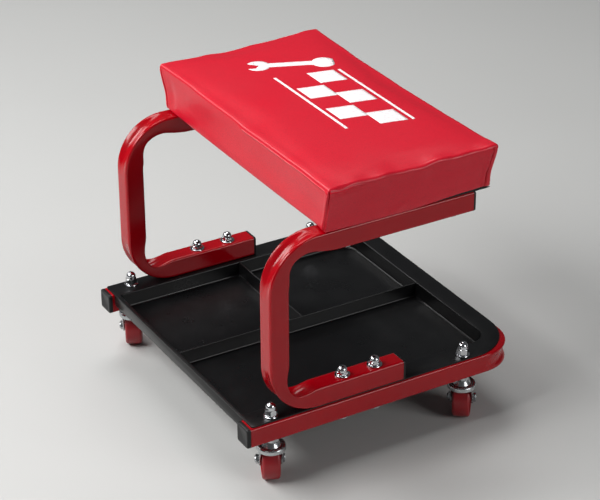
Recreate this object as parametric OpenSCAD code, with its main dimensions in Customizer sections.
// Rolling mechanic's seat: a padded vinyl seat on two C-shaped tube legs, bolted to a
// U-shaped base frame that carries a tool tray and four swivel casters.
// +X runs towards the closed end of the base frame, +Y across the rails, +Z up.
// The origin is on the floor, in the middle of the footprint with the casters as they stand.

/* [Tube] */
// Width of the square tube
tube_w = 25.4; // [20:0.1:30]
// Wall thickness of the tube
tube_wall = 1.5; // [1.2:0.1:2]
// Outer corner radius of the tube
tube_corner = 3; // [1:0.5:5]

/* [Base frame] */
// Length over the end caps and the closed end
base_l = 383.2; // [340:0.2:440]
// Width over the two rails
base_w = 388.4; // [340:0.2:440]
// Height of the rails' underside above the floor
base_z = 68.6; // [66:0.1:80]
// Radius of the bends along the middle of the tube
base_bend_r = 35.6; // [30:0.1:45]

/* [Legs] */
// Height of the seat's underside above the floor
leg_top_z = 321.8; // [260:0.2:380]
// Distance from the left end of the base to the upright's outer face
leg_setback = 31.8; // [28:0.2:40]
// Length of the lower arm, from the upright's outer face to the cap
leg_lower_l = 180.1; // [170:0.1:200]
// Length of the upper arm, from the upright's outer face to the cap
leg_upper_l = 272.3; // [240:0.1:300]
// Radius of the bends along the middle of the tube
leg_bend_r = 50.8; // [45:0.1:60]
// Distance between the two bolts of a leg
leg_bolt_gap = 44.4; // [35:0.1:60]
// Distance from the lower arm's cap to its nearest bolt
leg_bolt_edge = 33.1; // [25:0.1:40]

/* [Tray] */
// Depth from the rim's top to the tray floor
tray_depth = 20; // [12:0.5:22]
// Thickness of the moulded plastic
tray_wall = 2; // [1.6:0.1:2.5]
// Strip of rail left bare outside the tray's rim
tray_inset = 2.2; // [1:0.1:4]
// Outer radius of the rim's two round corners
tray_corner = 60; // [50:1:70]

/* [Seat] */
// Seat size from the closed end to the open end
seat_l = 227.6; // [200:0.2:280]
// Seat size across the legs
seat_w = 409.6; // [360:0.2:440]
// Thickness of the seat, underside to top
seat_h = 58; // [45:0.5:75]
// How far the seat reaches past the upper arms' caps
seat_overhang = 24.8; // [10:0.2:40]
// Rounding of the seat's edges
seat_round = 9; // [5:0.5:14]
// How far the two ends lean in from top to bottom
seat_lean_x = 4.5; // [0:0.5:10]
// How far the two sides lean in from top to bottom
seat_lean_y = 10; // [0:0.5:10]

/* [Casters] */
// Wheel diameter
wheel_d = 50; // [48:0.5:51]
// Wheel width
wheel_w = 21.5; // [18:0.5:22]
// Distance from the swivel axis to the axle
trail = 18.5; // [17:0.5:20]
// Swivel angle of the near left caster
yaw_near_left = 65; // [-180:1:180]
// Swivel angle of the near right caster
yaw_near_right = 51; // [-180:1:180]
// Swivel angle of the far left caster
yaw_far_left = 63; // [-180:1:180]
// Swivel angle of the far right caster
yaw_far_right = 60; // [-180:1:180]

/* [Hidden] */
$fn = 48;
gap = 0.05;

// tube and base frame
cap_head = 5;
rail_y = base_w/2 - tube_w/2;
base_x0 = -base_l/2 + cap_head;
base_x1 = base_l/2;
base_top = base_z + tube_w;
cross_x = base_x1 - tube_w/2;
rail_end_x = cross_x - base_bend_r;

// tray
rim_z = base_top + tray_wall;
rim_x0 = base_x0 + tray_inset;
rim_x1 = base_x1 - tray_inset;
rim_y = base_w/2 - tray_inset;
tray_floor_z = rim_z - tray_depth;
basin_clear = 4.2;
basin_end_clear = 0.8;
basin_y = rail_y - tube_w/2 - tray_wall - basin_clear;
basin_x0 = rim_x0 + 6;
basin_x1 = cross_x - tube_w/2 - tray_wall - basin_end_clear;
basin_r = 22;
divider_t = 2.5;
divider_x = -5;
divider_top = rim_z - 0.6;
lip_drop = 16;
rail_clear = 0.5;

// legs
post_x0 = -base_l/2 + leg_setback;
post_x = post_x0 + tube_w/2;
lower_z = rim_z + tube_w/2;
upper_z = leg_top_z - tube_w/2;
lower_x1 = post_x0 + leg_lower_l;
upper_x1 = post_x0 + leg_upper_l;
leg_cap_head = 3.5;
leg_bolt_x = [lower_x1 - leg_bolt_edge - leg_bolt_gap, lower_x1 - leg_bolt_edge];
SIDES = [["near", -1], ["far", 1]];

// M8 fasteners of the legs and the casters
m8_r = 4;
m8_hole_r = 4.25;
m8_across_flats = 13;
m8_head_h = 5.3;
leg_nut_h = 10.8;
leg_nut_hex_h = 4.2;
leg_washer_r = 9.4;
leg_thread = 7.5;
caster_nut_h = 16.4;
caster_nut_hex_h = 8;
caster_washer_r = 8.75;
caster_thread = 10.5;
nut_base_r = 7.2;
washer_t = 1.6;

// seat
seat_x1 = upper_x1 + seat_overhang;
seat_x0 = seat_x1 - seat_l;
seat_mid_x = (seat_x0 + seat_x1)/2;
seat_top = leg_top_z + seat_h;
liner_t = 0.8;
liner_inset = 3;
cover_t = 1.2;
board_t = 12;
board_z = leg_top_z + liner_t + cover_t;
hem_w = 34;
hem_half_l = seat_l/2 - seat_lean_x;
hem_half_w = seat_w/2 - seat_lean_y;
board_half_l = hem_half_l - cover_t - 0.3;
board_half_w = hem_half_w - cover_t - 0.3;
foam_z = board_z + board_t;
foam_gap = 0.3;
seat_bolt_x = [upper_x1 - 166, upper_x1 - 22];
m6_r = 3;
m6_hole_r = 3.25;
m6_across_flats = 10;
m6_head_h = 4;
tee_flange_t = 1.2;
tee_flange_r = 9;
tee_barrel_r = 4;
tee_barrel_l = 9;
staple_pitch = 26;
staple_w = 10;
staple_leg = 6;
staple_wire = 0.9;
staple_inset = 28.6;

// casters
wheel_r = wheel_d/2;
stem_from_ends = [33, 78];
stem_x = [base_x0 + stem_from_ends[0], base_x1 - stem_from_ends[1]];
skirt_top = base_z - 11;
skirt_bottom = base_z - 17;
skirt_r = 17.5;
cup_t = 1.2;
collar_across_flats = 17;
collar_h = 5.5;
crown_t = 1.8;
crown_z = skirt_bottom + 0.2;
crown_top = crown_z + crown_t;
crown_r = 15.2;
cup_under = skirt_top - cup_t;
ball_r = 1.5;
ball_ring_r = 11;
ball_count = 12;
ball_z = (crown_top + cup_under)/2;
rivet_r = 6;
rivet_h = 3.2;
fork_inner = wheel_w/2 + 1.3;
fork_t = 2;
fork_neck = 7;
fork_end_r = 8;
axle_r = 3;
axle_head_h = 3.4;
axle_nut_h = 4.6;
hub_r = 8;
web_half = 4;
rim_t = 5;
tread_r = 3.5;
CASTERS = [
    ["near_left", stem_x[0], -rail_y, yaw_near_left],
    ["near_right", stem_x[1], -rail_y, yaw_near_right],
    ["far_left", stem_x[0], rail_y, yaw_far_left],
    ["far_right", stem_x[1], rail_y, yaw_far_right]];
CASTER_PARTS = ["stem", "cup", "balls", "fork", "wheel", "axle", "axle_nut"];

// the far casters trail outwards, past the seat, so the footprint's middle is off the frame's
far_reach = rail_y + (trail + wheel_r)*sin(yaw_far_left) + (wheel_w/2 - tread_r)*cos(yaw_far_left);
middle_y = (far_reach - seat_w/2)/2;

// Points of an arc about a centre, from angle a0 to a1 in n steps
function arc(cx, cy, r, a0, a1, n) =
    [for (i = [0:n]) let (a = a0 + (a1 - a0)*i/n) [cx + r*cos(a), cy + r*sin(a)]];

// Points of a rectangle whose corners, from low x low y anticlockwise, have radii r[0] to r[3]
function round_rect(x0, x1, y0, y1, r, n) = concat(
    arc(x0 + r[0], y0 + r[0], r[0], 180, 270, n),
    arc(x1 - r[1], y0 + r[1], r[1], 270, 360, n),
    arc(x1 - r[2], y1 - r[2], r[2], 0, 90, n),
    arc(x0 + r[3], y1 - r[3], r[3], 90, 180, n));

function round_square(w, r, n) = round_rect(-w/2, w/2, -w/2, w/2, [r, r, r, r], n);

// Moves a piece from the frame's middle line to the footprint's middle
module placed() {
    translate([0, -middle_y, 0]) children();
}

// ---- tube

module tube_section() {
    difference() {
        polygon(round_square(tube_w, tube_corner, 3));
        polygon(round_square(tube_w - 2*tube_wall, tube_corner - tube_wall, 3));
    }
}

module tube_x(x0, x1, y) {
    translate([x0, y, 0]) rotate([90, 0, 90]) linear_extrude(x1 - x0) tube_section();
}

module tube_y(y0, y1, x) {
    translate([x, y0, 0]) rotate([-90, 0, 0]) linear_extrude(y1 - y0) tube_section();
}

// A quarter bend about (cx, cy), starting at angle a0
module tube_bend(cx, cy, r, a0) {
    translate([cx, cy, 0]) rotate([0, 0, a0])
        rotate_extrude(angle = 90) translate([r, 0]) tube_section();
}

// A plug with a chamfered head, which closes a tube that ends at x = 0 and opens towards +X
module end_cap(head) {
    plug_w = tube_w - 2*tube_wall - 0.4;
    color("#1c1c1e") {
        translate([-12, 0, 0]) rotate([90, 0, 90])
            linear_extrude(12) difference() {
                polygon(round_square(plug_w, 1, 2));
                polygon(round_square(plug_w - 4, 1, 2));
            }
        rotate([90, 0, 90]) linear_extrude(head - 1.5) polygon(round_square(tube_w, tube_corner, 3));
        hull() {
            translate([head - 1.5, 0, 0]) rotate([90, 0, 90])
                linear_extrude(0.1) polygon(round_square(tube_w, tube_corner, 3));
            translate([head - 0.1, 0, 0]) rotate([90, 0, 90])
                linear_extrude(0.1) polygon(round_square(tube_w - 3, tube_corner, 3));
        }
    }
}

// ---- fasteners

module at_leg_bolts(z) {
    placed() for (s = SIDES) for (x = leg_bolt_x) translate([x, s[1]*rail_y, z]) children();
}

module at_stems(z) {
    placed() for (c = CASTERS) translate([c[1], c[2], z]) children();
}

module at_seat_bolts(z) {
    placed() for (s = SIDES) for (x = seat_bolt_x) translate([x, s[1]*rail_y, z]) children();
}

module hex(across_flats, h) {
    cylinder(h = h, r = across_flats/2/cos(30), $fn = 6);
}

module dome_nut(nut_h, nut_hex_h) {
    dome_r = m8_across_flats/2 - 0.3;
    bore_h = nut_h - 2.5;
    color("#c9cbce") difference() {
        union() {
            cylinder(h = 1, r = nut_base_r);
            translate([0, 0, 0.5]) hex(m8_across_flats, nut_hex_h - 0.5);
            translate([0, 0, nut_hex_h - 0.5]) cylinder(h = nut_h - nut_hex_h - dome_r + 1.5, r = dome_r);
            intersection() {
                translate([0, 0, nut_h - dome_r]) sphere(r = dome_r);
                translate([0, 0, nut_hex_h]) cylinder(h = nut_h, r = dome_r + 1);
            }
        }
        translate([0, 0, -1]) cylinder(h = bore_h + 1, r = m8_r + gap);
    }
}

module washer(washer_r) {
    color("#c9cbce") difference() {
        cylinder(h = washer_t, r = washer_r);
        translate([0, 0, -1]) cylinder(h = washer_t + 2, r = m8_hole_r);
    }
}

module leg_bolts() {
    top = rim_z + tube_w + washer_t + leg_thread;
    color("#c9cbce") at_leg_bolts(base_z) {
        translate([0, 0, -m8_head_h]) hex(m8_across_flats, m8_head_h);
        translate([0, 0, -1]) cylinder(h = top - base_z + 1, r = m8_r);
    }
}

module leg_washers() { at_leg_bolts(rim_z + tube_w) washer(leg_washer_r); }

module leg_nuts() { at_leg_bolts(rim_z + tube_w + washer_t) dome_nut(leg_nut_h, leg_nut_hex_h); }

module caster_washers() { at_stems(rim_z) washer(caster_washer_r); }

module caster_nuts() { at_stems(rim_z + washer_t) dome_nut(caster_nut_h, caster_nut_hex_h); }

// ---- base

module base_frame() {
    bend_y = rail_y - base_bend_r;
    color("#b3141c") placed() translate([0, 0, base_z + tube_w/2]) difference() {
        union() {
            for (s = SIDES) tube_x(base_x0, rail_end_x, s[1]*rail_y);
            tube_y(-bend_y, bend_y, cross_x);
            tube_bend(rail_end_x, -bend_y, base_bend_r, -90);
            tube_bend(rail_end_x, bend_y, base_bend_r, 0);
        }
        for (s = SIDES) for (x = concat(leg_bolt_x, stem_x))
            translate([x, s[1]*rail_y, -tube_w]) cylinder(h = 2*tube_w, r = m8_hole_r);
    }
}

module base_cap(side) {
    placed() translate([base_x0, side*rail_y, base_z + tube_w/2]) mirror([1, 0, 0]) end_cap(cap_head);
}

module tray_outline() {
    polygon(round_rect(rim_x0, rim_x1, -rim_y, rim_y, [3, tray_corner, tray_corner, 3], 12));
}

module basin_outline(grow) {
    r = basin_r + grow;
    polygon(round_rect(basin_x0 - grow, basin_x1 + grow, -basin_y - grow, basin_y + grow,
        [4, r, r, 4], 8));
}

module tool_tray() {
    lip_y = rail_y - tube_w/2 - rail_clear;
    color("#161617") placed() difference() {
        union() {
            translate([0, 0, rim_z - tray_wall]) linear_extrude(tray_wall) difference() {
                tray_outline();
                basin_outline(0);
            }
            translate([0, 0, tray_floor_z]) linear_extrude(tray_depth - 0.5) difference() {
                basin_outline(tray_wall);
                basin_outline(0);
            }
            translate([0, 0, tray_floor_z - tray_wall]) linear_extrude(tray_wall) basin_outline(tray_wall);
            translate([basin_x0 - 1, -divider_t/2, tray_floor_z - 1])
                cube([basin_x1 - basin_x0 + 2, divider_t, divider_top - tray_floor_z + 1]);
            translate([divider_x - divider_t/2, 0, tray_floor_z - 1])
                cube([divider_t, basin_y + 1, divider_top - tray_floor_z + 1]);
            translate([rim_x0, -lip_y, rim_z - lip_drop]) cube([tray_wall, 2*lip_y, lip_drop - 1]);
        }
        for (s = SIDES) for (x = concat(leg_bolt_x, stem_x))
            translate([x, s[1]*rail_y, rim_z - tray_wall - 1]) cylinder(h = tray_wall + 2, r = m8_hole_r);
    }
}

// ---- legs

module leg_frame(side) {
    lower_y = lower_z + leg_bend_r;
    upper_y = upper_z - leg_bend_r;
    bend_x = post_x + leg_bend_r;
    color("#b3141c") placed() difference() {
        translate([0, side*rail_y, 0]) rotate([90, 0, 0]) union() {
            tube_x(bend_x, lower_x1, lower_z);
            tube_bend(bend_x, lower_y, leg_bend_r, 180);
            tube_y(lower_y, upper_y, post_x);
            tube_bend(bend_x, upper_y, leg_bend_r, 90);
            tube_x(bend_x, upper_x1, upper_z);
        }
        for (x = leg_bolt_x) translate([x, side*rail_y, rim_z - 1]) cylinder(h = tube_w + 2, r = m8_hole_r);
        for (x = seat_bolt_x) translate([x, side*rail_y, leg_top_z - tube_w - 1])
            cylinder(h = tube_w + 2, r = m6_hole_r);
    }
}

module leg_cap_lower(side) {
    placed() translate([lower_x1, side*rail_y, lower_z]) end_cap(leg_cap_head);
}

module leg_cap_upper(side) {
    placed() translate([upper_x1, side*rail_y, upper_z]) end_cap(leg_cap_head);
}

// ---- seat

// Rounded pad shape that narrows downwards, moved in by inset on every side but the open bottom
module pad_shape(inset, bottom) {
    r = seat_round - inset;
    fall = (seat_top - bottom)/seat_h;
    half_l = seat_l/2 - inset - r;
    half_w = seat_w/2 - inset - r;
    translate([seat_mid_x, 0, 0]) hull() {
        for (x = [-1, 1]) for (y = [-1, 1]) {
            translate([x*half_l, y*half_w, seat_top - inset - r]) sphere(r = r, $fn = 24);
            translate([x*(half_l - fall*seat_lean_x), y*(half_w - fall*seat_lean_y), bottom])
                cylinder(h = 1, r = r, $fn = 24);
        }
    }
}

module seat_cover() {
    color("#d0202e") placed() difference() {
        pad_shape(0, leg_top_z + liner_t);
        pad_shape(cover_t, board_z);
        translate([seat_mid_x, 0, leg_top_z]) linear_extrude(board_z - leg_top_z + 1)
            square([2*(hem_half_l - hem_w), 2*(hem_half_w - hem_w)], center = true);
        for (s = SIDES) for (x = seat_bolt_x) translate([x, s[1]*rail_y, leg_top_z])
            cylinder(h = board_z - leg_top_z + 1, r = m6_hole_r);
    }
}

module seat_foam() {
    color("#d9cf9a") placed() difference() {
        pad_shape(cover_t + foam_gap, foam_z);
        for (s = SIDES) for (x = seat_bolt_x) translate([x, s[1]*rail_y, foam_z - 1])
            cylinder(h = tee_flange_t + 1.2, r = tee_flange_r + foam_gap);
    }
}

module seat_board() {
    corner = seat_round;
    color("#b98d54") placed() difference() {
        translate([seat_mid_x, 0, board_z]) linear_extrude(board_t)
            polygon(round_rect(-board_half_l, board_half_l, -board_half_w, board_half_w,
                [corner, corner, corner, corner], 6));
        for (s = SIDES) for (x = seat_bolt_x) translate([x, s[1]*rail_y, board_z - 1])
            cylinder(h = board_t + 2, r = tee_barrel_r + gap);
    }
}

module seat_liner() {
    color("#101010") placed() difference() {
        translate([seat_mid_x, 0, leg_top_z]) linear_extrude(liner_t)
            square([2*(hem_half_l - liner_inset), 2*(hem_half_w - liner_inset)], center = true);
        for (s = SIDES) for (x = seat_bolt_x) translate([x, s[1]*rail_y, leg_top_z - 1])
            cylinder(h = liner_t + 2, r = m6_hole_r);
    }
}

module seat_screws() {
    reach = foam_z - (leg_top_z - tube_w);
    color("#c9cbce") at_seat_bolts(leg_top_z - tube_w) {
        translate([0, 0, -m6_head_h]) hex(m6_across_flats, m6_head_h);
        translate([0, 0, -1.2]) cylinder(h = 1.2, r = 6.5);
        translate([0, 0, -1]) cylinder(h = reach + 1, r = m6_r);
    }
}

module seat_tee_nuts() {
    color("#c9cbce") at_seat_bolts(foam_z) difference() {
        union() {
            cylinder(h = tee_flange_t, r = tee_flange_r);
            translate([0, 0, -tee_barrel_l]) cylinder(h = tee_barrel_l + 0.5, r = tee_barrel_r);
        }
        translate([0, 0, -tee_barrel_l - 1]) cylinder(h = tee_barrel_l + tee_flange_t + 2, r = m6_r + gap);
    }
}

// A staple with its back under the liner and its legs up through the hem into the board
module staple() {
    translate([-staple_w/2, -staple_wire/2, -staple_wire]) cube([staple_w, staple_wire, staple_wire]);
    for (x = [-staple_w/2, staple_w/2 - staple_wire])
        translate([x, -staple_wire/2, -staple_wire]) cube([staple_wire, staple_wire, staple_leg]);
}

module seat_staples() {
    edge_l = hem_half_l - staple_inset;
    edge_w = hem_half_w - staple_inset;
    along_l = floor(edge_l/staple_pitch);
    along_w = floor(edge_w/staple_pitch);
    color("#c9cbce") placed() translate([seat_mid_x, 0, leg_top_z]) {
        for (s = [-1, 1]) for (i = [-along_l:along_l]) translate([i*staple_pitch, s*edge_w, 0]) staple();
        for (s = [-1, 1]) for (i = [-along_w:along_w]) translate([s*edge_l, i*staple_pitch, 0])
            rotate([0, 0, 90]) staple();
    }
}

// ---- casters: each part is drawn about its swivel axis, then carried to its stem and turned

module at_caster(c) {
    placed() translate([c[1], c[2], 0]) rotate([0, 0, c[3]]) children();
}

module caster_stem(c) {
    top = rim_z + washer_t + caster_thread;
    color("#c9cbce") at_caster(c) {
        translate([0, 0, base_z - collar_h]) hex(collar_across_flats, collar_h);
        translate([0, 0, crown_z - 1]) cylinder(h = top - crown_z + 1, r = m8_r);
        translate([0, 0, crown_z - 0.1 - rivet_h]) cylinder(h = rivet_h, r = rivet_r);
    }
}

module caster_cup(c) {
    dome_top = base_z - collar_h;
    color("#c9cbce") at_caster(c) difference() {
        rotate_extrude() polygon([
            [m8_r + gap, dome_top], [8.5, dome_top], [12, skirt_top], [skirt_r - 1, skirt_top],
            [skirt_r, skirt_top - 1], [skirt_r, skirt_bottom], [skirt_r - cup_t, skirt_bottom],
            [skirt_r - cup_t, cup_under], [m8_r + gap, cup_under]]);
        translate([0, 0, ball_z]) rotate_extrude() translate([ball_ring_r, 0]) circle(r = ball_r + gap);
    }
}

module caster_balls(c) {
    color("#dddddd") at_caster(c) for (i = [0:ball_count - 1]) rotate([0, 0, i*360/ball_count])
        translate([ball_ring_r, 0, ball_z]) sphere(r = ball_r);
}

// One side of the fork, drawn with x along the trail and y up
module fork_arm_outline() {
    knee = skirt_bottom - 1.5;
    polygon([[-fork_neck, crown_top], [-fork_neck, knee], [-fork_neck + 3, knee - 6],
        [trail - fork_end_r, wheel_r + 1], [trail - fork_end_r, wheel_r], [trail + fork_end_r, wheel_r],
        [trail + fork_end_r, wheel_r + 4], [fork_neck + 8, knee - 2], [fork_neck, knee],
        [fork_neck, crown_top]]);
    translate([trail, wheel_r]) circle(r = fork_end_r);
}

module caster_fork(c) {
    color("#c9cbce") at_caster(c) difference() {
        union() {
            translate([0, 0, crown_z]) cylinder(h = crown_t, r = crown_r);
            for (y = [-fork_inner - fork_t, fork_inner]) translate([0, y + fork_t, 0])
                rotate([90, 0, 0]) linear_extrude(fork_t) fork_arm_outline();
        }
        translate([0, 0, crown_z - 1]) cylinder(h = crown_t + 2, r = m8_r + gap);
        translate([0, 0, ball_z]) rotate_extrude() translate([ball_ring_r, 0]) circle(r = ball_r + gap);
        translate([trail, 2*wheel_w, wheel_r]) rotate([90, 0, 0]) cylinder(h = 4*wheel_w, r = axle_r + gap);
    }
}

module caster_wheel(c) {
    half = wheel_w/2;
    hub_half = half + 0.9;
    color("#b3141c") at_caster(c) translate([trail, 0, wheel_r]) rotate([90, 0, 0])
        rotate_extrude() polygon(concat(
            [[axle_r + gap, -hub_half], [hub_r, -hub_half], [hub_r, -web_half],
             [wheel_r - rim_t, -web_half], [wheel_r - rim_t, -half]],
            arc(wheel_r - tread_r, tread_r - half, tread_r, -90, 0, 4),
            arc(wheel_r - tread_r, half - tread_r, tread_r, 0, 90, 4),
            [[wheel_r - rim_t, half], [wheel_r - rim_t, web_half], [hub_r, web_half],
             [hub_r, hub_half], [axle_r + gap, hub_half]]));
}

module caster_axle(c) {
    outer = fork_inner + fork_t;
    color("#c9cbce") at_caster(c) translate([trail, 0, wheel_r]) rotate([90, 0, 0]) {
        translate([0, 0, outer]) hex(m6_across_flats, axle_head_h);
        translate([0, 0, -outer - axle_nut_h + 1]) cylinder(h = 2*outer + axle_nut_h, r = axle_r);
    }
}

module caster_axle_nut(c) {
    outer = fork_inner + fork_t;
    color("#c9cbce") at_caster(c) translate([trail, 0, wheel_r]) rotate([90, 0, 0]) difference() {
        translate([0, 0, -outer - axle_nut_h]) hex(m6_across_flats, axle_nut_h);
        translate([0, 0, -outer - axle_nut_h + 1]) cylinder(h = axle_nut_h + 1, r = axle_r + gap);
        translate([0, 0, -outer - axle_nut_h - 1]) cylinder(h = 3, r = 1.6);
    }
}

base_frame();
tool_tray();
leg_bolts();
leg_washers();
leg_nuts();
caster_washers();
caster_nuts();
seat_board();
seat_foam();
seat_cover();
seat_liner();
seat_staples();
seat_screws();
seat_tee_nuts();
for (s = SIDES) {
    base_cap(s[1]);
    leg_frame(s[1]);
    leg_cap_lower(s[1]);
    leg_cap_upper(s[1]);
}
for (c = CASTERS) {
    caster_stem(c);
    caster_cup(c);
    caster_balls(c);
    caster_fork(c);
    caster_wheel(c);
    caster_axle(c);
    caster_axle_nut(c);
}
